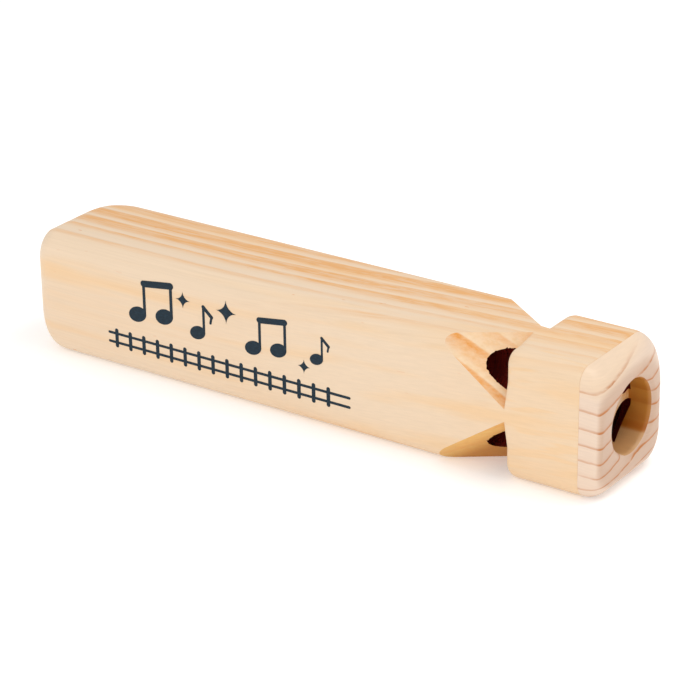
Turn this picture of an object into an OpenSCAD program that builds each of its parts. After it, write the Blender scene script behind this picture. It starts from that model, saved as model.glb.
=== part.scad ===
// Wooden train whistle: a drilled block, a glued mouthpiece cap and four fipple plugs.
// Millimetres. X runs along the whistle with the mouth at +X, and Z = 0 is the face it rests on.

/* [Block] */
// Length over the block and the cap
whistle_l = 178; // [140:1:240]
// Width across the two sides
block_w = 33; // [30:0.5:45]
// Height from the rest face to the top
block_h = 35; // [31:0.5:48]
// Radius of the long edges
edge_r = 5; // [3:0.25:8]
// Radius of the rear end's edges
rear_r = 9.5; // [4:0.25:14]

/* [Mouthpiece] */
// Thickness of the glued front cap
cap_t = 6.35; // [4:0.05:12]
// Radius of the front end's top and bottom edges, where the lips rest
lip_r = 6.25; // [3:0.25:9]
// Radius of the front end's upright edges
upright_r = 2; // [1:0.25:6]
// Diameter of the hole that is blown into
mouth_d = 19.05; // [14:0.05:22]
// Radius of the eased rim round the mouth hole
mouth_ease = 1.4; // [0.3:0.1:2]
// Height of the mouth hole's centre above the middle of the block
mouth_rise = 0.3; // [0:0.1:1.5]

/* [Chambers] */
// Diameter of the four drilled chambers
bore_d = 12.7; // [9:0.05:14]
// Wood left between neighbouring chambers
web_t = 2; // [1:0.1:4]
// Height of the chamber pattern's centre above the middle of the block
pattern_rise = 0.9; // [0:0.1:2]
// Turn of the chambers and notches about the whistle's axis
pattern_turn = 2.5; // [0:0.5:6]
// Sounding length of the upper left chamber, from plug to drill point
chamber_upper_left = 98; // [50:1:105]
// Sounding length of the upper right chamber
chamber_upper_right = 86; // [50:1:105]
// Sounding length of the lower left chamber, the deepest note here
chamber_lower_left = 119; // [60:1:125]
// Sounding length of the lower right chamber, the highest note here
chamber_lower_right = 71; // [40:1:105]
// Full angle of the drill point at the blind ends
drill_point = 118; // [90:1:140]

/* [Notches] */
// Distance from the front face to the steep face of each notch
head_l = 27.2; // [20:0.1:40]
// Depth that the bottom of each notch cuts into its chamber
notch_bite = 3.6; // [2:0.1:5]
// Angle of the ramp to the whistle's axis
ramp_angle = 26; // [15:0.5:40]
// Direction of each notch, as an angle from the side it opens on, before the pattern's turn
notch_dir = 43.5; // [36:0.5:54]

/* [Plugs] */
// Depth of the flat on each plug, which is the height of the air slit
windway_h = 1.5; // [0.8:0.1:2.4]
// Space between the cap and the plugs, where the breath spreads out
plug_recess = 5; // [2:0.5:9]
// Gap all round a plug in its bore: zero is a glued push fit
plug_fit = 0; // [0:0.01:0.1]

/* [Hidden] */
$fn = 96;
// Extra reach of cutting tools past a face
over = 1;
front_x = whistle_l / 2;
rear_x = -whistle_l / 2;
joint_x = front_x - cap_t;
notch_x = front_x - head_l;
mid_z = block_h / 2;
flat_w = block_w - 2 * edge_r;
flat_h = block_h - 2 * edge_r;
bore_r = bore_d / 2;
mouth_r = mouth_d / 2;
// Chamber axes lie this far from the pattern's axis, across and up
bore_off = web_t / 2 + bore_r;
// Height of the cone that the drill point leaves
point_l = bore_r / tan(drill_point / 2);
// Distances from the pattern's axis along a notch's direction
chamber_out = bore_off * (cos(notch_dir) + sin(notch_dir)) + bore_r;
notch_d = chamber_out - notch_bite;
corner_d = (block_w * cos(notch_dir) + block_h * sin(notch_dir)) / 2;
tool_d = corner_d + pattern_rise + over;
ramp_l = (tool_d - notch_d) / tan(ramp_angle);
plug_r = bore_r - plug_fit;
plug_l = joint_x - plug_recess - notch_x;

// Moves the first quadrant to the quarter that the signs name, seen along X
module quarter(side, level) {
    translate([0, 0, mid_z])
        mirror([0, side < 0 ? 1 : 0, 0])
            mirror([0, 0, level < 0 ? 1 : 0])
                children();
}

// Puts a copy in all four quarters
module quarters() {
    for (side = [-1, 1], level = [-1, 1]) quarter(side, level) children();
}

// Turns the pattern of chambers and notches, and lifts it above the block's middle
module in_pattern() {
    translate([0, 0, mid_z + pattern_rise])
        rotate([pattern_turn, 0, 0])
            translate([0, 0, -mid_z]) children();
}

// Rounded cross-section of the block
module section() {
    square([flat_w, block_h], center = true);
    square([block_w, flat_h], center = true);
    for (y = [-1, 1], z = [-1, 1]) translate([y * flat_w / 2, z * flat_h / 2]) circle(edge_r);
}

// Long view of the whistle from above or from a side, with round corners at both ends
module long_view(w, nose_r) {
    translate([rear_x + rear_r, -w / 2]) square([whistle_l - rear_r - nose_r, w]);
    translate([rear_x, rear_r - w / 2]) square([whistle_l / 2, w - 2 * rear_r]);
    translate([0, nose_r - w / 2]) square([whistle_l / 2, w - 2 * nose_r]);
    for (side = [-1, 1]) {
        translate([rear_x + rear_r, side * (w / 2 - rear_r)]) circle(rear_r);
        translate([front_x - nose_r, side * (w / 2 - nose_r)]) circle(nose_r);
    }
}

// Whole outside of the whistle, before it is cut: what its three views have in common
module outside() {
    intersection() {
        translate([rear_x, 0, mid_z]) rotate([90, 0, 90]) linear_extrude(whistle_l) section();
        translate([0, 0, -over]) linear_extrude(block_h + 2 * over) long_view(block_w, upright_r);
        translate([0, 0, mid_z])
            rotate([90, 0, 0]) linear_extrude(block_w + 2 * over, center = true) long_view(block_h, lip_r);
    }
}

// Everything in front of the glue joint
module front_space() {
    translate([joint_x, -block_w, -over]) cube([cap_t + over, 2 * block_w, block_h + 2 * over]);
}

// Blind chamber with a drill point, open at the joint
module chamber(sounding_l) {
    translate([notch_x - sounding_l, bore_off, bore_off]) rotate([0, 90, 0]) {
        translate([0, 0, point_l]) cylinder(r = bore_r, h = joint_x + over - notch_x + sounding_l - point_l);
        cylinder(r1 = 0, r2 = bore_r, h = point_l);
    }
}

// Wedge with a steep front face and a long ramp behind it
module notch_cut() {
    rotate([notch_dir, 0, 0])
        linear_extrude(2 * (block_w + block_h), center = true)
            polygon([[notch_x, notch_d], [notch_x, tool_d], [notch_x - ramp_l, tool_d]]);
}

module body_block() {
    color([0.91, 0.79, 0.64])
        difference() {
            outside();
            front_space();
            in_pattern() {
                quarter(-1, 1) chamber(chamber_upper_left);
                quarter(1, 1) chamber(chamber_upper_right);
                quarter(-1, -1) chamber(chamber_lower_left);
                quarter(1, -1) chamber(chamber_lower_right);
                quarters() notch_cut();
            }
        }
}

module mouthpiece_cap() {
    color([0.93, 0.82, 0.70])
        difference() {
            intersection() {
                outside();
                front_space();
            }
            translate([0, 0, mid_z + mouth_rise]) rotate([0, 90, 0]) {
                translate([0, 0, joint_x - over]) cylinder(r = mouth_r, h = cap_t + 2 * over);
                translate([0, 0, front_x - mouth_ease]) rim_cut();
            }
        }
}

// Ring that rounds the mouth hole's rim
module rim_cut() {
    rotate_extrude()
        difference() {
            square([mouth_r + mouth_ease, mouth_ease]);
            translate([mouth_r + mouth_ease, 0]) circle(mouth_ease);
        }
}

// Dowel with a flat towards its outer corner
module fipple_plug() {
    color([0.86, 0.72, 0.54])
        translate([notch_x, bore_off, bore_off])
            difference() {
                rotate([0, 90, 0]) cylinder(r = plug_r, h = plug_l);
                rotate([notch_dir, 0, 0])
                    translate([-over, bore_r - windway_h, -bore_d])
                        cube([plug_l + 2 * over, bore_d, 2 * bore_d]);
            }
}

module fipple_plug_upper_left() {
    in_pattern() quarter(-1, 1) fipple_plug();
}

module fipple_plug_upper_right() {
    in_pattern() quarter(1, 1) fipple_plug();
}

module fipple_plug_lower_left() {
    in_pattern() quarter(-1, -1) fipple_plug();
}

module fipple_plug_lower_right() {
    in_pattern() quarter(1, -1) fipple_plug();
}

body_block();
mouthpiece_cap();
fipple_plug_upper_left();
fipple_plug_upper_right();
fipple_plug_lower_left();
fipple_plug_lower_right();
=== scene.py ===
# %% [markdown]
# # A wooden train whistle
# The whistle is one drilled pine block, a glued cap with the mouth hole, and four dowel plugs.
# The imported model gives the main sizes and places. This script gives the wood, the sanded edges
# and the print. Lengths here are in millimetres until a mesh is made, because that is how a
# woodworker would measure this piece.

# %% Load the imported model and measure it
import math

import bmesh
import bpy
import numpy as np
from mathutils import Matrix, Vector


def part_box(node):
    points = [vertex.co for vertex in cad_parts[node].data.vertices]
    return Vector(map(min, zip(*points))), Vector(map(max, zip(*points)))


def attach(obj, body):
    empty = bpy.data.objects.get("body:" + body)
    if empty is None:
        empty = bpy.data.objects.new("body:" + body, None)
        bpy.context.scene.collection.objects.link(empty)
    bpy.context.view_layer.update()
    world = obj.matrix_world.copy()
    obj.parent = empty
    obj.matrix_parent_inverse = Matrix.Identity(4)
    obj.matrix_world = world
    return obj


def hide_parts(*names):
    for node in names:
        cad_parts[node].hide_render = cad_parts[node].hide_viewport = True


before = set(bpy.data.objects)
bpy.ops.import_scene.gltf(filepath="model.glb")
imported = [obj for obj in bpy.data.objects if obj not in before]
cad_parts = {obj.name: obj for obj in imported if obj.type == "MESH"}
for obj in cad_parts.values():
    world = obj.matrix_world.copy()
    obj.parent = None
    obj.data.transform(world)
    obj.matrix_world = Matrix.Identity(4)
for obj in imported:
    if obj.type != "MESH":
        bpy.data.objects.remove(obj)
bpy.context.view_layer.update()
MM = 0.001


def box_mm(node):
    """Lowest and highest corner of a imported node, in millimetres."""
    low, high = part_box(node)
    return np.array(low) / MM, np.array(high) / MM


block_low, block_high = box_mm("body_block")
cap_low, cap_high = box_mm("mouthpiece_cap")
CORNERS = {
    "upper_left": (-1, 1),
    "upper_right": (1, 1),
    "lower_left": (-1, -1),
    "lower_right": (1, -1),
}
plug_box = {name: box_mm(f"fipple_plug_{name}") for name in CORNERS}
bore_at = {name: (low + high)[1:] / 2 for name, (low, high) in plug_box.items()}
pattern_at = np.mean(list(bore_at.values()), 0)
plug_low, plug_high = plug_box["upper_right"]
rear_x = block_low[0]
joint_x = cap_low[0]
front_x = cap_high[0]
notch_x = plug_low[0]
plug_front_x = plug_high[0]
half_w = block_high[1]
half_h = block_high[2] / 2
bore_r = (plug_high[1] - plug_low[1]) / 2
bore_out = float(np.hypot(*(bore_at["upper_right"] - pattern_at)))
pattern_turn = math.atan2(*(bore_at["upper_right"] - pattern_at)[::-1]) - math.pi / 4
print(f"block {rear_x:.1f} to {joint_x:.2f}, cap to {front_x:.1f}, notches at {notch_x:.1f}")
print(f"bores {2 * bore_r:.2f} across round Z {pattern_at[1]:.1f}")
print(f"pattern turned by {math.degrees(pattern_turn):.1f} degrees")

# %% [markdown]
# ## The camera
# The photograph was taken from the mouth end, a little above the top. A long lens stands well
# back, so the far end shrinks only slightly. The camera's place is written as a turn round the
# whistle, a height angle and a distance, because those can be read and changed by hand.

# %% Place the camera
IMAGE_SIDE = 700
SENSOR_SIDE = 36.0
camera_turn = math.radians(34.64)
camera_height = math.radians(24.02)
camera_roll = math.radians(-0.73)
camera_distance = 707.5
camera_aim = np.array([4.99, 0.0, 15.38])
focal_pixels = 2723.9


def camera_axes(turn, height, roll):
    """Right, up and backward directions: backward from the two angles, then the frame rolls."""
    back = np.array([
        math.sin(turn) * math.cos(height),
        -math.cos(turn) * math.cos(height),
        math.sin(height),
    ])
    level = np.array([math.cos(turn), math.sin(turn), 0.0])
    rise = np.cross(back, level)
    right = math.cos(roll) * level + math.sin(roll) * rise
    up = -math.sin(roll) * level + math.cos(roll) * rise
    return right, up, back


right, up, back = camera_axes(camera_turn, camera_height, camera_roll)
camera_data = bpy.data.cameras.new("camera")
camera_data.sensor_width = SENSOR_SIDE
camera_data.lens = focal_pixels * SENSOR_SIDE / IMAGE_SIDE
camera_data.clip_start = 0.01
camera = bpy.data.objects.new("camera", camera_data)
bpy.context.scene.collection.objects.link(camera)
place = np.eye(4)
place[:3, 0] = right
place[:3, 1] = up
place[:3, 2] = back
place[:3, 3] = (camera_aim + camera_distance * back) * MM
camera.matrix_world = place.T.tolist()
bpy.context.scene.camera = camera
print(f"lens {camera_data.lens:.0f} mm at {camera_distance:.0f} mm")

# %% [markdown]
# ## Wood
# Pine has pale early wood and orange late wood in rings round the tree's pith. A board is a slice
# of those rings, so a pattern in three dimensions gives stripes on the top, a calm side and lines
# on the cut ends, all from one formula. These helpers only shorten the wiring of shader nodes.

# %% Small helpers for node trees
def srgb(red, green, blue):
    """Screen colour from 0 to 255 as linear light with full opacity."""
    value = np.array([red, green, blue]) / 255
    linear = np.where(value <= 0.04045, value / 12.92, ((value + 0.055) / 1.055) ** 2.4)
    return (*linear.tolist(), 1.0)


def put(tree, socket, value):
    """Links a socket, or sets a plain value."""
    if isinstance(value, bpy.types.NodeSocket):
        tree.links.new(value, socket)
    elif value is not None:
        socket.default_value = value


def calc(tree, operation, first, second=None, third=None):
    """One Math node."""
    node = tree.nodes.new("ShaderNodeMath")
    node.operation = operation
    for socket, value in zip(node.inputs, (first, second, third)):
        put(tree, socket, value)
    return node.outputs[0]


def ramp_between(tree, value, low, high):
    """Smooth step from 0 at low to 1 at high."""
    node = tree.nodes.new("ShaderNodeMapRange")
    node.interpolation_type = "SMOOTHSTEP"
    put(tree, node.inputs["Value"], value)
    node.inputs["From Min"].default_value = low
    node.inputs["From Max"].default_value = high
    return node.outputs["Result"]


def noise(tree, place, wave, shift=0.0, detail=2.0, roughness=0.5):
    """Noise from 0 to 1 whose bumps have the given length along each axis, in millimetres."""
    stretch = tree.nodes.new("ShaderNodeMapping")
    put(tree, stretch.inputs["Vector"], place)
    stretch.inputs["Scale"].default_value = [1 / length for length in wave]
    stretch.inputs["Location"].default_value = (shift, shift, shift)
    node = tree.nodes.new("ShaderNodeTexNoise")
    put(tree, node.inputs["Vector"], stretch.outputs[0])
    node.inputs["Scale"].default_value = 1.0
    node.inputs["Detail"].default_value = detail
    node.inputs["Roughness"].default_value = roughness
    return node.outputs["Fac"]


def blend_colour(tree, share, first, second, mode="MIX"):
    """One colour Mix node."""
    node = tree.nodes.new("ShaderNodeMix")
    node.data_type = "RGBA"
    node.blend_type = mode
    put(tree, node.inputs[0], share)
    put(tree, node.inputs[6], first)
    put(tree, node.inputs[7], second)
    return node.outputs[2]


def axes_of(tree, place):
    """X, Y and Z of a place, each as a socket of its own."""
    node = tree.nodes.new("ShaderNodeSeparateXYZ")
    put(tree, node.inputs[0], place)
    return node.outputs


def new_finish(name):
    """Empty material with its tree, its shader and the place on the piece in millimetres."""
    material = bpy.data.materials.new(name)
    material.use_nodes = True
    tree = material.node_tree
    place = tree.nodes.new("ShaderNodeVectorMath")
    place.operation = "SCALE"
    put(tree, place.inputs[0], tree.nodes.new("ShaderNodeTexCoord").outputs["Object"])
    place.inputs["Scale"].default_value = 1 / MM
    return material, tree, tree.nodes["Principled BSDF"], place.outputs[0]


def tell(*materials):
    """Prints how many nodes each material took."""
    for material in materials:
        print(f"{material.name}: {len(material.node_tree.nodes)} nodes")


# %% [markdown]
# Lacquered pine is satin: the coat is thin and follows the fibres. The finish below is shared by
# the block, its sawn ramps, the cap and the dowels, so only colours and ring patterns differ.

# %% The finish that all the pine shares
def raised(tree, shader, height, strength, relief):
    """Lets a share lift the surface by up to the given relief, in millimetres."""
    bump = tree.nodes.new("ShaderNodeBump")
    bump.inputs["Strength"].default_value = strength
    bump.inputs["Distance"].default_value = relief * MM
    put(tree, bump.inputs["Height"], height)
    put(tree, shader.inputs["Normal"], bump.outputs[0])


def pine_finish(tree, shader, place, ground, late, late_wood, fibre_wave, relief=0.05):
    """Ground colour darkened by late wood and by fine fibres, which also drive sheen and relief."""
    fibre = noise(tree, place, fibre_wave, detail=3.0, roughness=0.6)
    wood = blend_colour(tree, late, ground, late_wood)
    shade = calc(tree, "MULTIPLY_ADD", fibre, 0.16, 0.92)
    grey = tree.nodes.new("ShaderNodeCombineColor")
    for socket in grey.inputs[:3]:
        put(tree, socket, shade)
    shaded = blend_colour(tree, 1.0, wood, grey.outputs[0], "MULTIPLY")
    put(tree, shader.inputs["Base Color"], shaded)
    put(tree, shader.inputs["Roughness"], calc(tree, "MULTIPLY_ADD", fibre, 0.18, 0.38))
    shader.inputs["Coat Weight"].default_value = 0.08
    shader.inputs["Coat Roughness"].default_value = 0.3
    raised(tree, shader, calc(tree, "MULTIPLY_ADD", late, 0.6, fibre), 0.25, relief)


def bent(tree, place, lean, start, soft):
    """The place with Y and Z lowered by a slope that sets in gently past a station along X."""
    apart = axes_of(tree, place)
    ahead = calc(tree, "SUBTRACT", apart["X"], start)
    ahead = calc(tree, "SMOOTH_MAX", ahead, 0.0, soft)
    joined = tree.nodes.new("ShaderNodeCombineXYZ")
    put(tree, joined.inputs["X"], apart["X"])
    for axis in "YZ":
        put(tree, joined.inputs[axis], calc(tree, "MULTIPLY_ADD", ahead, -lean, apart[axis]))
    return joined.outputs[0]


def tree_rings(tree, place, pith, spacing, sway, first_peak, broad=1.0):
    """Late wood from 0 to 1. The ring number is the distance from a pith line beside the piece,
    swayed by slow noise. Late wood rises in each ring and stops short: it fills most of a broad
    ring and is a line in a thin one. Each ring has its own strength."""
    apart = axes_of(tree, place)
    across = calc(tree, "POWER", calc(tree, "SUBTRACT", apart["Y"], pith[0]), 2)
    over = calc(tree, "POWER", calc(tree, "SUBTRACT", apart["Z"], pith[1]), 2)
    radius = calc(tree, "SQRT", calc(tree, "ADD", across, over))
    slow = noise(tree, place, (50, 30, 30), 0.6, detail=0.0)
    quick = noise(tree, place, (22, 5, 5), 2.2)
    radius = calc(tree, "MULTIPLY_ADD", slow, 2 * sway, radius)
    radius = calc(tree, "MULTIPLY_ADD", quick, sway, radius)
    ring = calc(tree, "MULTIPLY_ADD", radius, 1 / spacing, first_peak)
    part = calc(tree, "FRACT", ring)
    own = tree.nodes.new("ShaderNodeTexWhiteNoise")
    own.noise_dimensions = "1D"
    put(tree, own.inputs["W"], calc(tree, "FLOOR", ring))
    line = ramp_between(tree, part, 0.5, 0.85)
    rise = calc(tree, "SUBTRACT", ramp_between(tree, part, -0.05, 0.5), line)
    rise = calc(tree, "MULTIPLY_ADD", rise, broad, line)
    swell = calc(tree, "MULTIPLY", rise, ramp_between(tree, part, 1.0, 0.88))
    streak = noise(tree, place, (24, 0.9, 0.9), 1.3, detail=4.0, roughness=0.7)
    weight = calc(tree, "MULTIPLY_ADD", own.outputs["Value"], 0.3, 0.7)
    weight = calc(tree, "MULTIPLY", weight, calc(tree, "MULTIPLY_ADD", streak, 2.0, -0.05))
    return calc(tree, "MULTIPLY", swell, weight)


# %% [markdown]
# The block's rings stand upright and run lengthwise. The top shows them as broad orange stripes
# with thin pale lines between, six millimetres apart, and towards the near side as thin orange
# lines. The trunk leaned a little, so from the middle on they swing across the top. The sides lie
# flat to the rings, so they stay cream with faint honey bands. Honey gathers along the lower edge
# and in short streaks on the head. A few drops of resin make flecks.

# %% Stripes and honey of the block
GRAIN = {"pith": (-95, 15), "spacing": 6.0, "sway": 0.5, "first_peak": 0.6}
LEAN = {"lean": 0.085, "start": -18.0, "soft": 30.0}
# Places along one axis where a change begins and ends
FAR_HALF_Y = (-10.0, -1.0)
FADING_X = (-10.0, 60.0)
FADING_Y = (9.0, 2.0)
HONEY_X = (20.0, 80.0)
LOW_EDGE_X = (-50.0, 30.0)
LOW_EDGE_Z = (9.0, 1.0)
HEAD_X = (58.0, 66.0)
STREAKS_X = (50.0, 66.0)


def block_stripes(tree, apart, place):
    """Late wood of the block: stripes on the far half of the top, lines on the near half, all
    broken into dashes. It fades towards the head, except along the far edge."""
    far = ramp_between(tree, apart["Y"], *FAR_HALF_Y)
    late = tree_rings(tree, place, **GRAIN, broad=far)
    late = calc(tree, "MULTIPLY", late, calc(tree, "MULTIPLY_ADD", far, 0.5, 0.5))
    dashes = ramp_between(tree, noise(tree, place, (8, 0.5, 0.5), 4.4), 0.3, 0.7)
    late = calc(tree, "MULTIPLY", late, calc(tree, "MULTIPLY_ADD", dashes, 0.6, 0.7))
    ahead = ramp_between(tree, apart["X"], *FADING_X)
    fading = calc(tree, "MULTIPLY", ahead, ramp_between(tree, apart["Y"], *FADING_Y))
    return calc(tree, "MULTIPLY", late, calc(tree, "MULTIPLY_ADD", fading, -0.45, 1.0))


def block_honey(tree, apart, place, near_side):
    """Share of honey colour: slow bands, plus more towards the front, along the lower edge and on
    the head's near side, plus short streaks on the head."""
    bands = ramp_between(tree, noise(tree, place, (80, 5, 5), 3.7), 0.46, 0.78)
    bands = calc(tree, "MULTIPLY_ADD", ramp_between(tree, apart["X"], *HONEY_X), 0.3, bands)
    low_edge = ramp_between(tree, apart["Z"], *LOW_EDGE_Z)
    low_edge = calc(tree, "MULTIPLY", low_edge, ramp_between(tree, apart["X"], *LOW_EDGE_X))
    bands = calc(tree, "MULTIPLY_ADD", low_edge, 0.45, bands)
    head_side = calc(tree, "MULTIPLY", ramp_between(tree, apart["X"], *HEAD_X), near_side)
    bands = calc(tree, "MULTIPLY_ADD", head_side, 0.15, bands)
    streaks = noise(tree, place, (26, 1.9, 1.9), 7.7, detail=1.0)
    streaks = ramp_between(tree, streaks, 0.54, 0.7)
    streaks = calc(tree, "MULTIPLY", streaks, ramp_between(tree, apart["X"], *STREAKS_X))
    return calc(tree, "MULTIPLY_ADD", streaks, 0.7, bands)


# %% The pine of the block
SKIN_Y = (14.6, 16.4)


def block_pine(name, cream, honey, late_wood, fleck_colour):
    """Stripes and honey bands, both from the block's formulas, and resin flecks where noise is
    highest. Stripes and flecks are weak in the skin of the two sides."""
    material, tree, shader, place = new_finish(name)
    apart = axes_of(tree, place)
    place = bent(tree, place, **LEAN)
    near_side = ramp_between(tree, apart["Y"], -SKIN_Y[0], -SKIN_Y[1])
    far_side = ramp_between(tree, apart["Y"], *SKIN_Y)
    near_skin = calc(tree, "MULTIPLY_ADD", near_side, -0.85, 1.0)
    far_skin = calc(tree, "MULTIPLY_ADD", far_side, -0.4, 1.0)
    skin = calc(tree, "MULTIPLY", near_skin, far_skin)
    late = calc(tree, "MULTIPLY", block_stripes(tree, apart, place), skin)
    ground = blend_colour(tree, block_honey(tree, apart, place, near_side), cream, honey)
    flecks = noise(tree, place, (3.2, 0.7, 0.7), 5.1, detail=0.0)
    flecks = calc(tree, "MULTIPLY", ramp_between(tree, flecks, 0.83, 0.88), skin)
    ground = blend_colour(tree, flecks, ground, fleck_colour)
    pine_finish(tree, shader, place, ground, late, late_wood, (26, 0.45, 0.45))
    return material


block_wood = block_pine(
    "block_pine",
    cream=srgb(227, 202, 173),
    honey=srgb(230, 195, 153),
    late_wood=srgb(222, 163, 96),
    fleck_colour=srgb(214, 138, 70),
)
tell(block_wood)

# %% [markdown]
# A saw cut that slopes across the grain opens the fibres' ends. They drink more lacquer, so the
# rings on the ramps are a deeper orange than on the sides, and there are short dark pores. The
# ramps underneath lie in shade, painted into their colour: golden all over, browner away from the
# sides.

# %% The sawn ramps
RAMP_GRAIN = {**GRAIN, "spacing": 4.4, "sway": 0.3, "first_peak": 0.18, "broad": 0.5}


def sawn_pine(name, amber, deep, late_wood, shallow, underside_shade, underside_deep_shade):
    """Deep ground, mottled by pores that are short across the cut and paler where the cut runs out.
    The rings are like the block's but closer, and show most near the sides. Low down, all of it is
    multiplied by a painted shade tint, browner away from the sides."""
    material, tree, shader, place = new_finish(name)
    apart = axes_of(tree, place)
    aside = calc(tree, "ABSOLUTE", apart["Y"])
    place = bent(tree, place, **LEAN)
    low = ramp_between(tree, apart["Z"], half_h, half_h - 3.0)
    outer = calc(tree, "MULTIPLY_ADD", ramp_between(tree, aside, 11.0, 14.0), 0.4, 0.6)
    outer = calc(tree, "MULTIPLY", outer, calc(tree, "MULTIPLY_ADD", low, -0.7, 1.0))
    late = calc(tree, "MULTIPLY", tree_rings(tree, place, **RAMP_GRAIN), outer)
    pores = noise(tree, place, (2.6, 1.1, 1.1), 0.4)
    ground = blend_colour(tree, ramp_between(tree, pores, 0.38, 0.68), amber, deep)
    ground = blend_colour(tree, ramp_between(tree, apart["X"], 50.0, 43.0), ground, shallow)
    # Painted shade on the ramps underneath: their colour is multiplied golden, browner away from
    # the sides
    painted_shade = blend_colour(tree, ramp_between(tree, aside, 15.5, 9.0), underside_shade, underside_deep_shade)
    ground = blend_colour(tree, low, ground, painted_shade, "MULTIPLY")
    late_wood = blend_colour(tree, low, late_wood, painted_shade, "MULTIPLY")
    pine_finish(tree, shader, place, ground, late, late_wood, (3.0, 0.35, 0.35), 0.09)
    return material


ramp_wood = sawn_pine(
    "sawn_pine",
    amber=srgb(235, 205, 168),
    deep=srgb(232, 197, 153),
    late_wood=srgb(223, 149, 66),
    shallow=srgb(226, 201, 171),
    # Tints of the painted shade on the ramps underneath
    underside_shade=srgb(252, 229, 160),
    underside_deep_shade=srgb(208, 161, 52),
)
tell(ramp_wood)

# %% [markdown]
# The cap is another offcut, with its rings almost level and closer together towards the bottom.
# Their late wood shows as thin broken brown lines on a paler, pinker ground. The reamed wall of the
# mouth hole cuts the same rings, so its stripes line up with those outside. Its colour carries
# painted light and shade: a deeper brown as shade on the upper wall, pale as light on the floor.

# %% The rings of the cap
CAP_TILT = 0.2
ring_lift = 1.2
rings_per_mm = 0.1944
crowding = 0.00112
top_z = 2 * half_h


def cap_rings(tree, apart, place, tilt):
    """Ring number: it grows with depth below the top and a little with its square, swayed by
    noise."""
    slow = noise(tree, place, (26, 18, 18), 0.3, detail=1.0)
    quick = noise(tree, place, (4, 3, 3), 1.9)
    down = calc(tree, "SUBTRACT", top_z + ring_lift, apart["Z"])
    down = calc(tree, "MULTIPLY_ADD", apart["Y"], tilt, down)
    down = calc(tree, "MULTIPLY_ADD", slow, 1.6, down)
    down = calc(tree, "MULTIPLY_ADD", quick, 0.5, down)
    down = calc(tree, "MAXIMUM", down, 0.0)
    density = calc(tree, "MULTIPLY_ADD", down, crowding, rings_per_mm)
    return calc(tree, "MULTIPLY", down, density)


def ring_band(tree, part, start, full, drop):
    """Band within a ring: it rises from start to full, and falls from drop to the ring's end."""
    rise = ramp_between(tree, part, start, full)
    return calc(tree, "MULTIPLY", rise, ramp_between(tree, part, 1.0, drop))


# %% The pine of the cap and of its mouth hole
def cap_pine(name, tilt, cream, pink, amber, late_wood):
    """Nearly flat rings with thin late wood. The front face is end grain, so it is amber, and the
    wood above the first ring is cream."""
    material, tree, shader, place = new_finish(name)
    apart = axes_of(tree, place)
    ring = cap_rings(tree, apart, place, tilt)
    part = calc(tree, "FRACT", ring)
    line = ring_band(tree, part, 0.79, 0.93, 0.96)
    glow = ring_band(tree, part, 0.45, 0.95, 0.97)
    streak = noise(tree, place, (6, 3, 1.0), 2.1)
    late = calc(tree, "MULTIPLY", line, ramp_between(tree, streak, 0.12, 0.6))
    late = calc(tree, "MULTIPLY_ADD", glow, 0.16, late)
    front = ramp_between(tree, apart["X"], front_x - 1.6, front_x - 0.1)
    late = calc(tree, "MULTIPLY", late, calc(tree, "MULTIPLY_ADD", front, 0.56, 0.48))
    late = calc(tree, "MULTIPLY", late, ramp_between(tree, apart["Z"], top_z - 0.3, top_z - 4.0))
    below = blend_colour(tree, calc(tree, "MULTIPLY", front, 0.75), pink, amber)
    ground = blend_colour(tree, ramp_between(tree, ring, 0.75, 1.4), cream, below)
    pine_finish(tree, shader, place, ground, late, late_wood, (5, 5, 0.35))
    return material


def reamed_pine(name, tilt, pale, brown, late_wood):
    """The cap's rings on the wall of a hole: late wood is broad there, darkest above the floor. The
    floor is painted pale and bare of rings as lit, and the wall above brown as shade."""
    material, tree, shader, place = new_finish(name)
    apart = axes_of(tree, place)
    part = calc(tree, "FRACT", cap_rings(tree, apart, place, tilt))
    late = calc(tree, "MULTIPLY", ring_band(tree, part, 0.2, 0.9, 0.85), 0.6)
    # Painted light and shade by height: the floor is pale and bare of rings as lit, the wall above
    # brown as shade
    high = ramp_between(tree, apart["Z"], half_h - 7.1, half_h - 6.1)
    seam = ramp_between(tree, apart["Z"], half_h - 3.5, half_h - 5.8)
    late = calc(tree, "MULTIPLY", calc(tree, "MAXIMUM", late, seam), high)
    ground = blend_colour(tree, high, pale, brown)
    pine_finish(tree, shader, place, ground, late, late_wood, (5, 0.7, 0.7))
    return material


cap_wood = cap_pine(
    "cap_pine",
    CAP_TILT,
    cream=srgb(230, 203, 174),
    pink=srgb(226, 201, 179),
    amber=srgb(196, 160, 133),
    late_wood=srgb(188, 116, 58),
)
mouth_wall = reamed_pine(
    "reamed_pine",
    CAP_TILT,
    # Pale is painted light on the floor of the hole, brown is painted shade on the wall above
    pale=srgb(200, 154, 102),
    brown=srgb(190, 126, 46),
    late_wood=srgb(172, 98, 18),
)
tell(cap_wood, mouth_wall)

# %% [markdown]
# The dowels hide in the head, and their front ends are painted dark as shade deep in the holes. The
# walls of the chambers are painted a dark reddish brown as shade and show faint turning marks.

# %% The dowels and the walls of the chambers
DOWEL_GRAIN = {"pith": (3, 40), "spacing": 2.6, "sway": 0.6, "first_peak": 0.3}


def dowel_pine(name, cream, honey, late_wood, end_shade):
    """Straight-grained dowel: rings like the block's, closer together, with its front end painted
    dark as shade.
    """
    material, tree, shader, place = new_finish(name)
    apart = axes_of(tree, place)
    late = tree_rings(tree, place, **DOWEL_GRAIN)
    ground = blend_colour(tree, noise(tree, place, (40, 6, 6), 0.8), cream, honey)
    # Painted shade: the dowel's front end, deep in its hole, is darkened
    end = ramp_between(tree, apart["X"], plug_front_x - 0.5, plug_front_x - 0.2)
    ground = blend_colour(tree, end, ground, end_shade)
    late = calc(tree, "MULTIPLY", late, calc(tree, "SUBTRACT", 1.0, end))
    pine_finish(tree, shader, place, ground, late, late_wood, (18, 0.4, 0.4))
    return material


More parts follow.
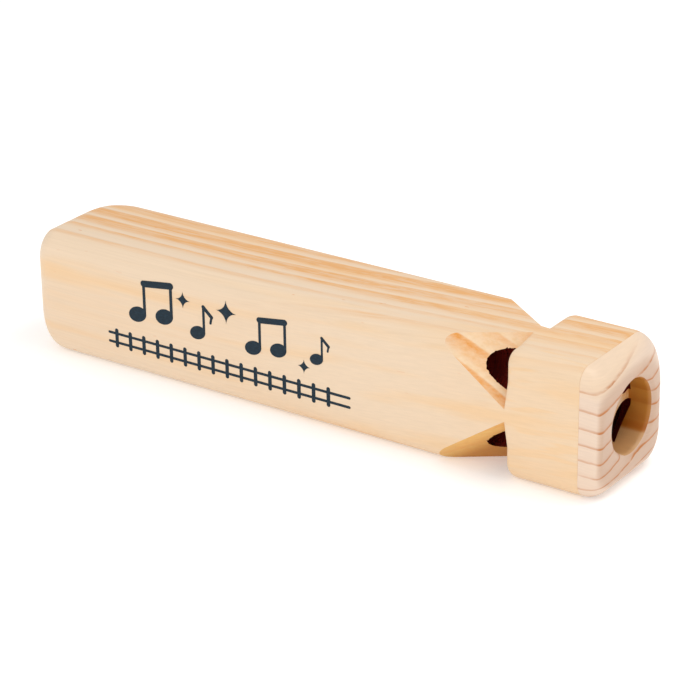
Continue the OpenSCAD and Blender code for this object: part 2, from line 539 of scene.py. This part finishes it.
def turned_wall(name, light, dark, dull):
    """Wall of a drilled hole: two dark browns, painted as the shade deep in the hole, mixed by
    marks that run round it.
    """
    material, tree, shader, place = new_finish(name)
    marks = noise(tree, place, (0.7, 5, 5), 0.2)
    brown = blend_colour(tree, ramp_between(tree, marks, 0.3, 0.7), dark, light)
    put(tree, shader.inputs["Base Color"], brown)
    put(tree, shader.inputs["Roughness"], calc(tree, "MULTIPLY_ADD", marks, 0.2, dull))
    raised(tree, shader, marks, 0.3, 0.04)
    return material


dowel_wood = dowel_pine(
    "dowel_pine",
    cream=srgb(228, 196, 156),
    honey=srgb(222, 182, 134),
    late_wood=srgb(196, 140, 88),
    end_shade=srgb(84, 38, 24),
)
# Dark reddish browns painted as the shade deep inside the chambers
shaded_chamber_wall = turned_wall(
    "shaded_chamber_wall", light=srgb(165, 40, 20), dark=srgb(124, 28, 13), dull=0.7
)
tell(dowel_wood, shaded_chamber_wall)

# %% [markdown]
# ## The shared mesh helpers
# Every piece here is a grid of points: rows one way, columns the other. A row that shrinks to one
# point makes a pole, and joining points that coincide closes it. Holes and notches are cut with a
# Boolean, as they are cut in the workshop, and every cut brings its own finish along.

# %% Turn grids of points into meshes
merge_distance = 0.002


def grid_faces(rows, columns):
    """Quads between neighbouring rows and columns. The last column meets the first."""
    row = np.arange(rows - 1)[:, None] * columns
    column = np.arange(columns)[None, :]
    following = (column + 1) % columns
    corners = [row + column, row + following, row + columns + following, row + columns + column]
    return np.stack([corner.ravel() for corner in corners], 1)


def grid_object(name, grids, material):
    """One object from grids of points in millimetres, each of shape (rows, columns, 3)."""
    starts = np.cumsum([0] + [grid.shape[0] * grid.shape[1] for grid in grids])
    points = np.concatenate([grid.reshape(-1, 3) for grid in grids]) * MM
    faces = np.concatenate([
        grid_faces(*grid.shape[:2]) + start for grid, start in zip(grids, starts)
    ])
    mesh = bpy.data.meshes.new(name)
    mesh.from_pydata(points, [], faces.tolist())
    shape = bmesh.new()
    shape.from_mesh(mesh)
    bmesh.ops.remove_doubles(shape, verts=shape.verts, dist=merge_distance * MM)
    bmesh.ops.dissolve_degenerate(shape, edges=shape.edges, dist=merge_distance * MM)
    bmesh.ops.recalc_face_normals(shape, faces=shape.faces)
    shape.to_mesh(mesh)
    shape.free()
    mesh.shade_smooth()
    mesh.materials.append(material)
    made = bpy.data.objects.new(name, mesh)
    bpy.context.scene.collection.objects.link(made)
    print(f"{name}: {len(mesh.vertices)} points, {len(mesh.polygons)} faces")
    return made


def with_poles(body):
    """The rows of a grid with a pole at each end, in the middle of its first and last row."""
    ends = np.broadcast_to(body.mean(1, keepdims=True), body.shape)
    return np.concatenate([ends[:1], body, ends[-1:]])


# %% Paint faces and cut pieces
def face_centres(piece):
    """Middle of every face in millimetres, as (faces, 3)."""
    centres = np.empty(3 * len(piece.data.polygons))
    piece.data.polygons.foreach_get("center", centres)
    return centres.reshape(-1, 3) / MM


def paint_faces(piece, choice):
    """Gives every face the material whose number is chosen for it."""
    piece.data.polygons.foreach_set("material_index", choice.astype(np.int32))


def carve(piece, tool, operation="DIFFERENCE"):
    """Cuts a piece with a tool for good. The tool's surfaces keep the tool's material."""
    cut = piece.modifiers.new("cut", "BOOLEAN")
    cut.operation = operation
    cut.solver = "EXACT"
    cut.material_mode = "TRANSFER"
    cut.object = tool
    bpy.context.view_layer.update()
    finished = piece.evaluated_get(bpy.context.evaluated_depsgraph_get())
    piece.data = bpy.data.meshes.new_from_object(finished)
    piece.modifiers.clear()
    piece.data.name = piece.name


def state(piece):
    """How many faces a piece has and which materials they wear, in words."""
    materials = ", ".join(material.name for material in piece.data.materials)
    return f"{piece.name} has {len(piece.data.polygons)} faces in {materials}"


# %% [markdown]
# ## The block's outside
# The block was sawn square, and every edge was sanded round by hand, the rear end most of all. No
# two edges came out alike, so each has a radius of its own. The outside is a stack of rounded
# rectangles whose four sides draw in separately towards each end, and whose corners grow rounder
# as they do.

# %% Stack rounded rectangles
SIGNS = np.array([[1, 1], [-1, 1], [-1, -1], [1, -1]])
NEAR, FAR, UNDER, TOP = range(4)
SIDES = np.array([[FAR, TOP], [NEAR, TOP], [NEAR, UNDER], [FAR, UNDER]])
# Radii of the long edges, in the order of SIGNS
long_r = np.array([6.0, 4.0, 5.0, 4.3])
# Radii of the two ends, for the near, far, under and top side
rear_r = np.array([6.9, 15.0, 9.5, 8.4])
front_r = np.array([1.2, 5.1, 5.9, 7.9])
corner_growth = 0.67
largest_corner = 0.49


def section(flat_steps=40, arc_steps=30):
    """For each column, its share of the four corners and its outward direction. Each quarter is an
    arc about its corner, followed by points along the flat to the next corner."""
    shares = []
    directions = []
    for quarter in range(4):
        here, after = np.eye(4)[[quarter, (quarter + 1) % 4]]
        angle = math.pi / 2 * (quarter + np.linspace(0, 1, arc_steps + 1))
        arc = np.stack([np.cos(angle), np.sin(angle)], 1)
        step = np.linspace(0, 1, flat_steps + 1)[1:-1, None]
        shares += [np.repeat(here[None], arc_steps + 1, 0), here + (after - here) * step]
        directions += [arc, np.repeat(arc[-1:], flat_steps - 1, 0)]
    return np.concatenate(shares), np.concatenate(directions)


share_of, direction_of = section()


def drawn_in(back, radii):
    """How far each side has drawn in at a distance from the end: a quarter circle of its own
    radius."""
    short = np.maximum(radii - back[:, None], 0)
    return radii - np.sqrt(radii**2 - short**2)


def rings(x, extra=0.0, size=1.0):
    """Rounded rectangles as (rows, columns, 3). Each point is its corner's centre plus the corner
    radius along its outward direction, shared between two corners on a flat. A size of 0 gives a
    pole."""
    x, extra, size = np.broadcast_arrays(*np.atleast_1d(x, extra, size))
    inset = drawn_in(x - rear_x, rear_r) + drawn_in(front_x - x, front_r)
    corner_r = long_r + corner_growth * inset[:, SIDES].max(2)
    inset = inset + extra[:, None]
    room_w = 2 * half_w - inset[:, NEAR] - inset[:, FAR]
    room_h = 2 * half_h - inset[:, UNDER] - inset[:, TOP]
    corner_r = np.minimum(corner_r, largest_corner * np.minimum(room_w, room_h)[:, None])
    centre = SIGNS * (np.array([half_w, half_h]) - inset[:, SIDES] - corner_r[..., None])
    flat = share_of @ centre + (corner_r @ share_of.T)[..., None] * direction_of
    flat = flat * size[:, None, None] + [0, half_h]
    return np.concatenate([np.broadcast_to(x[:, None, None], flat.shape[:2] + (1,)), flat], 2)


print(f"{len(share_of)} columns round the section")

# %% Lay the block's rows from the rear to the joint
joint_ease = 0.07
turn = np.radians(np.linspace(0, 90, 31))
stations = np.concatenate([
    rear_x + rear_r.max() * (1 - np.cos(turn)),
    np.linspace(rear_x + rear_r.max(), front_x - front_r.max(), 22)[1:-1],
    front_x - front_r.max() * (1 - np.cos(turn[::-1])),
])
block = grid_object("pine_block", [np.concatenate([
    rings(rear_x, size=[0, 0.5]),
    rings(stations[stations < joint_x - 2 * joint_ease]),
    rings([joint_x - joint_ease, joint_x], [0, joint_ease]),
    rings(joint_x, joint_ease, [0.5, 0]),
])], block_wood)

# %% [markdown]
# ## The notches
# Each long edge has a notch: a steep cut at the head and a long ramp behind it. The tool that cuts
# it is a wedge. The head's edge above the steep cut is sanded round, least at the narrow neck and
# most at the corner, so the wedge's steep face curls forward as it nears the outside.

# %% Shape the wedges
notch_dir = math.radians(43.5)
notch_bite = 3.6
ramp_slope = math.tan(math.radians(26))
# Least and most radius of the head's sanded edge, and added depth, near (-1) and far (1)
HEAD_EASE = {-1: (0.02, 2.4), 1: (3.5, 4.6)}
EXTRA_DEPTH = {-1: 0.0, 1: 0.4}
ease_share = 0.6
notch_depth = bore_out * math.cos(notch_dir - math.pi / 4) + bore_r - notch_bite


def notch_heading(side, level):
    """Angle of a notch's direction in the section, counted from +Y towards +Z."""
    return math.atan2(level * math.sin(notch_dir), side * math.cos(notch_dir)) + pattern_turn


def depth_inside(flat):
    """How far points of the section lie inside the rounded rectangle. It is negative outside. Each
    point takes the radius of the corner in its own quarter, in the order of SIGNS."""
    centred = flat - [0, half_h]
    far, high = centred[..., 0] > 0, centred[..., 1] > 0
    radius = long_r[np.where(high, np.where(far, 0, 1), np.where(far, 3, 2))]
    past = np.abs(centred) - (np.array([half_w, half_h]) - radius[..., None])
    corner = np.hypot(*np.moveaxis(np.maximum(past, 0), -1, 0))
    return radius - corner - np.minimum(past.max(-1), 0)


def curl(inside, radius, steepest=0.97, outside=0.5):
    """Forward reach of a quarter circle that starts where the depth equals the radius. Near the
    outside it goes on in a straight line, so that it crosses the surface at a clear angle."""
    share = np.maximum(1 - np.maximum(inside, -outside) / radius, 0)
    bent = np.minimum(share, steepest)
    fall = np.sqrt(1 - bent**2)
    return radius * (1 - fall + (share - bent) * bent / fall)


def wedge(side, level, reach=27.0, wide=24.0, rows=121, steps=72):
    """Triangle in the plane of the axis and the notch's direction, swept across that plane: down
    the ramp at a fixed slope and up the steep face, which curls. Both ends close in a pole."""
    heading = notch_heading(side, level)
    towards = np.array([math.cos(heading), math.sin(heading)])
    along = np.array([-towards[1], towards[0]])
    sweep = np.linspace(-wide, wide, rows)[:, None]
    depth = notch_depth - EXTRA_DEPTH[side]
    out = np.linspace(depth, reach, steps)[None, :]
    flat = out[..., None] * towards + sweep[..., None] * along + pattern_at
    inside = depth_inside(flat)
    radius = np.clip(ease_share * inside[:, :1], *HEAD_EASE[side])
    steep = np.broadcast_to(notch_x + curl(inside, radius), inside.shape)
    ramp = np.broadcast_to(notch_x - (out - depth) / ramp_slope, inside.shape)
    sheets = [np.concatenate([x[..., None], flat], 2) for x in (ramp, steep)]
    return with_poles(np.concatenate([sheets[0][:, :0:-1], sheets[1]], 1))


# %% Saw the notches
curl_start = 0.02
for name, (side, level) in CORNERS.items():
    saw = grid_object(f"wedge_{name}", [wedge(side, level)], ramp_wood)
    saw.data.materials.append(block_wood)
    paint_faces(saw, face_centres(saw)[:, 0] > notch_x + curl_start)
    carve(block, saw)
    bpy.data.objects.remove(saw)
print(f"sawn: {state(block)}")

# %% [markdown]
# ## The chambers
# Four holes are drilled in from the front, each to its own depth, which sets its note. Where a
# ramp breaks into a hole, the bit tears a few fibres, so the rim is slightly ragged. Each hole is
# turned like a lathe profile, with seeded roughness only near that rim.

# %% Drill the chambers
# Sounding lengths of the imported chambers, from the steep cut to the drill point
CHAMBER_LENGTH = {"upper_left": 98, "upper_right": 86, "lower_left": 119, "lower_right": 71}
drill_point = math.radians(118)
# Chips: depth, softness, and the part of the bumps that counts
chip_depth = 0.2
chip_softness = 3.5
chip_onset = 0.5
chip_most = 1.5
ragged_length = 11.0
first_seed = 11
overrun = 1.0


def smooth_noise(rows, columns, soft, seed):
    """Seeded bumps of about unit height: white noise whose fine waves a Gaussian fades out."""
    white = np.random.default_rng(seed).standard_normal((rows, columns))
    wave = np.hypot(np.fft.fftfreq(rows)[:, None], np.fft.fftfreq(columns)[None])
    bumps = np.fft.ifft2(np.fft.fft2(white) * np.exp(-((wave * soft) ** 2))).real
    return bumps / bumps.std()


def turned(x, radius, y, z, columns):
    """Lathe profile about an axis along X: a circle of the given radius at each station. Stations
    and radii may also differ from column to column."""
    angle = np.linspace(0, 2 * math.pi, columns, endpoint=False)
    radius = np.broadcast_to(radius, (len(x), columns))
    return np.stack([
        np.broadcast_to(np.reshape(x, (len(x), -1)), radius.shape),
        y + radius * np.cos(angle),
        z + radius * np.sin(angle),
    ], 2)


def chamber(name, seed, columns=128):
    """A drill cone, then a straight wall that reaches past the joint, torn where it meets the
    ramp."""
    end_x = notch_x - CHAMBER_LENGTH[name]
    cone_x = end_x + bore_r / math.tan(drill_point / 2)
    ragged_x = np.linspace(notch_x - ragged_length, notch_x, 64)
    past_x = joint_x + overrun
    x = np.concatenate([[end_x, cone_x], ragged_x, [plug_front_x, past_x, past_x]])
    radius = np.full((len(x), columns), bore_r)
    radius[[0, -1]] = 0
    fade = np.sin(np.linspace(0, math.pi, len(ragged_x)))[:, None]
    bumps = smooth_noise(len(ragged_x), columns, chip_softness, seed)
    torn = np.clip(bumps - chip_onset, 0, chip_most)
    radius[2:2 + len(ragged_x)] += chip_depth * fade * torn
    return turned(x, radius, *bore_at[name], columns)


holes = [chamber(name, first_seed + i) for i, name in enumerate(CORNERS)]
drills = grid_object("drills", holes, shaded_chamber_wall)
carve(block, drills)
bpy.data.objects.remove(drills)
print(f"drilled: {state(block)}")

# %% [markdown]
# ## The cap
# The cap is a quarter-inch plate with a hole bored through. Its outside continues the block's stack
# of rounded rectangles round the front edge. The bit that bores it is a turned profile with a
# flared collar, which leaves the eased rim that is kind to the lips. The rim was sanded most on the
# near side, so the collar is larger there. The hole was bored after gluing, so the bit also bites a
# little into the block.

# %% Shape the cap
cap = grid_object("pine_cap", [np.concatenate([
    rings(joint_x, joint_ease, [0, 0.5, 1]),
    rings(joint_x + joint_ease),
    rings(stations[stations > joint_x + 2 * joint_ease]),
    rings(front_x, size=[0.5, 0]),
])], cap_wood)

# %% Turn the bit and bore the mouth hole
mouth_r = 9.525
mouth_rise = 0.3
mouth_z = half_h + mouth_rise
# Radius of the eased rim, and what the near side adds
mouth_ease = 2.0
near_ease = 0.7
# The cap's finish reaches this far in all round, and further past this distance on the near side
pale_rim = 0.8
near_from = 3.0
# The bit: bite into the block, start of its straight wall, collar and margin for finding its tip
bit_bite = 0.7
straight_from = 0.5
bit_collar = 4.0
tip_margin = 0.01

flare = np.radians(np.linspace(0, 84, 15))[:, None]
round_rim = np.linspace(0, 2 * math.pi, 160, endpoint=False)
ease = mouth_ease + near_ease * np.maximum(-np.cos(round_rim), 0) ** 2
even = np.ones((1, len(ease)))
tip_x = joint_x - bit_bite
bit_x = np.concatenate([
    np.array([[tip_x], [tip_x], [joint_x + straight_from]]) * even,
    front_x - ease * (1 - np.sin(flare)),
    np.array([[front_x + overrun], [front_x + overrun]]) * even,
])
bit_r = np.concatenate([
    np.array([[0], [mouth_r], [mouth_r]]) * even,
    mouth_r + ease * (1 - np.cos(flare)),
    np.array([[mouth_r + mouth_ease + bit_collar], [0]]) * even,
])
bit = grid_object("mouth_bit", [turned(bit_x, bit_r, 0, mouth_z, len(ease))], mouth_wall)
bit.data.materials.append(cap_wood)
bit.data.materials.append(block_wood)
centre = face_centres(bit)
deep = front_x - centre[:, 0]
nearness = np.clip((-centre[:, 1] - near_from) / (mouth_r - near_from), 0, 1)
outer = deep < pale_rim + (mouth_ease + near_ease - pale_rim) * nearness
tip = deep > front_x - tip_x - tip_margin
paint_faces(bit, np.where(tip, 2, outer))
carve(cap, bit)
carve(block, bit)
bpy.data.objects.remove(bit)
print(f"bored: {state(cap)}; {state(block)}")

# %% [markdown]
# Behind the far lower part of the hole lies an open chamber, so nothing backed the cap when the bit
# broke through. There it pushed out a lip of fibres instead of cutting them off. The lip is a thin
# strip that carries on the hole's wall, longest in the middle.

# %% Push out the lip of fibres
lip_length = 1.0
lip_thickness = 0.35
lip_root = 0.5
lip_overlap = 0.02
lip_middle = math.radians(-46)
lip_half = math.radians(34)


def fibre_lip(steps=49):
    """Strip along an arc of the hole. Its section is a rectangle, and its length is a parabola that
    falls to nothing at both ends, where it closes in a pole."""
    share = np.linspace(-1, 1, steps)
    back = joint_x - lip_length * (1 - share**2)
    front = np.full(steps, joint_x + lip_root)
    x = np.stack([front, front, back, back], 1)
    radius = mouth_r + np.array([-lip_overlap, lip_thickness, lip_thickness, -lip_overlap])
    turn = lip_middle + lip_half * share
    towards = np.stack([np.cos(turn), np.sin(turn)], 1)
    flat = towards[:, None] * radius[:, None] + [0, mouth_z]
    return with_poles(np.concatenate([x[..., None], flat], 2))


lip = grid_object("fibre_lip", [fibre_lip()], mouth_wall)
carve(cap, lip, "UNION")
bpy.data.objects.remove(lip)
print(f"with its lip: {state(cap)}")

# %% [markdown]
# ## The plugs
# Each plug is a length of dowel with one flat planed on it. The flat leaves the slit that throws
# the breath across the notch. A circle limited by a straight line gives its section.

# %% Plane and place the four plugs
windway_h = 1.5
plug_ease = 0.25
grazing = 0.05


def plug(name, columns=96):
    """Dowel along X: the radius is a circle's, or the flat's where that lies nearer the axis."""
    angle = np.linspace(0, 2 * math.pi, columns, endpoint=False)
    facing = np.cos(angle - notch_heading(*CORNERS[name]))
    radius = np.minimum(bore_r, (bore_r - windway_h) / np.maximum(facing, grazing))
    turn = np.radians(np.linspace(0, 90, 5))
    rise = plug_ease * (1 - np.cos(turn))
    draw = plug_ease * (1 - np.sin(turn))
    eased = 1 - draw / bore_r
    x = np.concatenate([[notch_x], notch_x + rise, (plug_front_x - rise)[::-1], [plug_front_x]])
    size = np.concatenate([[0], eased, eased[::-1], [0]])
    return turned(x, size[:, None] * radius, *bore_at[name], columns)


plugs = {name: grid_object(f"dowel_{name}", [plug(name)], dowel_wood) for name in CORNERS}

# %% [markdown]
# ## The print
# The near side carries a dark blue print. Here it is a length of track with notes and stars above
# it. Each shape is an outline scaled towards its middle, so a disc, a bar and a star are all the
# same kind of grid. The ink is a thin film on the wood. Stamped ink is never quite even: it thins
# where the fibres are hard, and fine noise gives that mottle.

# %% Mix the ink
def stamped_ink(name, dark, pale):
    """Dark blue ink, paler where fine noise says that the stamp met hard grain."""
    material, tree, shader, place = new_finish(name)
    mottle = noise(tree, place, (1.1, 1.1, 0.5), detail=3.0, roughness=0.65)
    blue = blend_colour(tree, ramp_between(tree, mottle, 0.35, 0.75), dark, pale)
    put(tree, shader.inputs["Base Color"], blue)
    put(tree, shader.inputs["Roughness"], calc(tree, "MULTIPLY_ADD", mottle, 0.25, 0.45))
    shader.inputs["Specular IOR Level"].default_value = 0.2
    return material


ink_blue = stamped_ink("stamped_ink", dark=srgb(20, 36, 47), pale=srgb(32, 52, 65))
tell(ink_blue)

# %% Draw the shapes
ink_film = 0.03
ink_layer = 0.015
ink_sunk = 0.02
nearly_zero = 1e-9


def disc(x, z, wide, high, tilt=0.0, steps=48):
    """Ellipse of the given half width and half height, leaning by tilt."""
    angle = np.linspace(0, 2 * math.pi, steps, endpoint=False)
    flat = np.stack([wide * np.cos(angle), high * np.sin(angle)], 1)
    lean = np.array([[math.cos(tilt), math.sin(tilt)], [-math.sin(tilt), math.cos(tilt)]])
    return flat @ lean + [x, z]


def bar(x0, z0, x1, z1, thick, steps=48):
    """Straight stroke with round ends: a circle whose far half is moved to the other end."""
    along = np.array([x1 - x0, z1 - z0])
    heading = math.atan2(along[1], along[0])
    angle = heading - math.pi / 2 + np.linspace(0, 2 * math.pi, steps, endpoint=False)
    ring = thick / 2 * np.stack([np.cos(angle), np.sin(angle)], 1)
    ahead = (ring @ along >= -nearly_zero)[:, None]
    return ring + [x0, z0] + ahead * along


def star(x, z, size, power=0.6, steps=64):
    """Four-pointed sparkle: the curve where both coordinates, to a power, add up to a constant."""
    angle = np.linspace(0, 2 * math.pi, steps, endpoint=False)
    wave = np.stack([np.cos(angle), np.sin(angle)], 1)
    return size * np.sign(wave) * np.abs(wave) ** (2 / power) + [x, z]


def film(shape, layer):
    """Closed thin solid on the near side: back pole, back rim, front rim, front pole."""
    middle = shape.mean(0)
    scale = np.array([0, 1, 1, 0])[:, None, None]
    flat = middle + scale * (shape - middle)
    front = -ink_film - ink_layer * layer
    depth = -half_w + np.array([ink_sunk, ink_sunk, front, front])
    y = np.broadcast_to(depth[:, None], flat.shape[:2])
    return np.stack([flat[..., 0], y, flat[..., 1]], 2)


# %% Build notes from the shapes
head_lean = 0.35
stem_at = 0.34


def head_and_stem(x, z, top, size):
    """A leaning oval, and an upright stroke at its right from just above its middle."""
    stem_x = x + stem_at * size
    return [
        disc(x, z, 0.42 * size, 0.30 * size, head_lean),
        bar(stem_x, z + 0.05 * size, stem_x, top, 0.13 * size),
    ]


def note(x, z, size):
    """One quaver: a head, a stem and a hooked flag of two strokes."""
    stem_x = x + stem_at * size
    top = z + 1.25 * size
    hook_x = stem_x + 0.42 * size
    hook_z = top - 0.38 * size
    return head_and_stem(x, z, top, size) + [
        bar(stem_x, top, hook_x, hook_z, 0.17 * size),
        bar(hook_x, hook_z, stem_x + 0.36 * size, top - 0.66 * size, 0.11 * size),
    ]


def beamed_notes(x, z, size):
    """Two heads with stems under one slanting beam."""
    apart = 1.25 * size
    rise = 0.18 * size
    stem_x = x + stem_at * size
    top = z + 1.35 * size
    beam_z = top - 0.06 * size
    first_head, first_stem = head_and_stem(x, z, top, size)
    second_head, second_stem = head_and_stem(x + apart, z + rise, top + rise, size)
    beam = bar(stem_x, beam_z, stem_x + apart, beam_z + rise, 0.26 * size)
    return [first_head, second_head, first_stem, second_stem, beam]


# %% Stamp the print
track_left = -62.0
track_right = 16.0
track_z = 9.5
rail_at = 1.3
rail_thick = 0.75
tie_reach = 2.2
tie_thick = 1.15
tie_x = np.arange(track_left + 2.5, track_right - 2, 4.6)
layers = 5

rails = [
    bar(track_left, track_z + level, track_right, track_z + level, rail_thick)
    for level in (-rail_at, rail_at)
]
ties = [bar(x, track_z - tie_reach, x, track_z + tie_reach, tie_thick) for x in tie_x]
shapes = []
shapes += beamed_notes(-52, 18.2, 7.2)
shapes += note(-32, 17.6, 6.2)
shapes += beamed_notes(-14, 17.6, 6.4)
shapes += note(6, 19.2, 5.0)
shapes += [star(-36.6, 25.8, 2.3), star(-22.5, 25.6, 3.2), star(2.0, 16.2, 2.0)]
films = [film(shape, 0) for shape in ties] + [film(shape, 1) for shape in rails]
films += [film(shape, i % layers) for i, shape in enumerate(shapes)]
ink = grid_object("print", films, ink_blue)

# %% [markdown]
# ## Assembly
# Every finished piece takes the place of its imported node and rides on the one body. Edges that
# bend by more than twenty degrees stay sharp, so that saw cuts look cut and sanded edges do not.

# %% Mount every piece
sharp_bend = math.radians(20)


def mount(piece, slot, *nodes):
    """Hides the CAD nodes that a piece replaces, keeps its bent edges sharp and gives it the body
    that it rides on. Its material slot is not used.
    """
    piece.data.set_sharp_from_angle(angle=sharp_bend)
    if nodes:
        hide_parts(*nodes)
    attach(piece, "root")


mount(block, "pine_block", "body_block")
mount(cap, "pine_cap", "mouthpiece_cap")
for name, dowel in plugs.items():
    mount(dowel, "dowel", f"fipple_plug_{name}")
mount(ink, "pine_block")
print(f"mounted the block, the cap, {len(plugs)} dowels and the print")

# %% [markdown]
# ## Floor and light
# The photograph is a plain studio shot: a pale ground and broad, soft light with hardly a shadow.
# A bright sky gives most of it, and the table glows a little, as a light table does, so the shadow
# stays faint. A large lamp faces the near side. A small one hangs above the mouth, so the top grows
# darker towards the rear.

# %% Lay the floor and light it
WHITE = (1, 1, 1, 1)
floor_half = 3.0
floor_grey = 0.93
floor_glow = 0.22
sky_strength = 0.755

scene = bpy.context.scene
scene.view_settings.view_transform = "Standard"
around = [(-1, -1), (1, -1), (1, 1), (-1, 1)]
floor_mesh = bpy.data.meshes.new("floor")
floor_mesh.from_pydata(
    [(floor_half * x, floor_half * y, 0) for x, y in around], [], [(0, 1, 2, 3)]
)
floor = bpy.data.objects.new("floor", floor_mesh)
scene.collection.objects.link(floor)
floor_paint, _, floor_shader, _ = new_finish("pale_floor")
floor_shader.inputs["Base Color"].default_value = (floor_grey, floor_grey, floor_grey, 1)
floor_shader.inputs["Roughness"].default_value = 0.9
floor_shader.inputs["Emission Color"].default_value = WHITE
floor_shader.inputs["Emission Strength"].default_value = floor_glow
floor_mesh.materials.append(floor_paint)

sky = bpy.data.worlds.new("sky")
sky.use_nodes = True
sky_light = sky.node_tree.nodes["Background"]
sky_light.inputs["Color"].default_value = WHITE
sky_light.inputs["Strength"].default_value = sky_strength
scene.world = sky
print(f"floor {2 * floor_half:.0f} m wide under an even sky")


# %% Hang the lamps
def softbox(name, at, side, watts):
    """Square lamp that faces the whistle."""
    data = bpy.data.lights.new(name, "AREA")
    data.size = side
    data.energy = watts
    lamp = bpy.data.objects.new(name, data)
    scene.collection.objects.link(lamp)
    lamp.location = at
    lamp.rotation_mode = "QUATERNION"
    lamp.rotation_quaternion = Vector(np.array(at) - camera_aim * MM).to_track_quat("Z", "Y")
    print(f"{name}: {watts} W at {at}")


softbox("key", (-0.1, -0.9, 0.6), side=0.7, watts=2.5)
softbox("overhead", (0.22, 0.1, 0.5), side=0.3, watts=0.92)
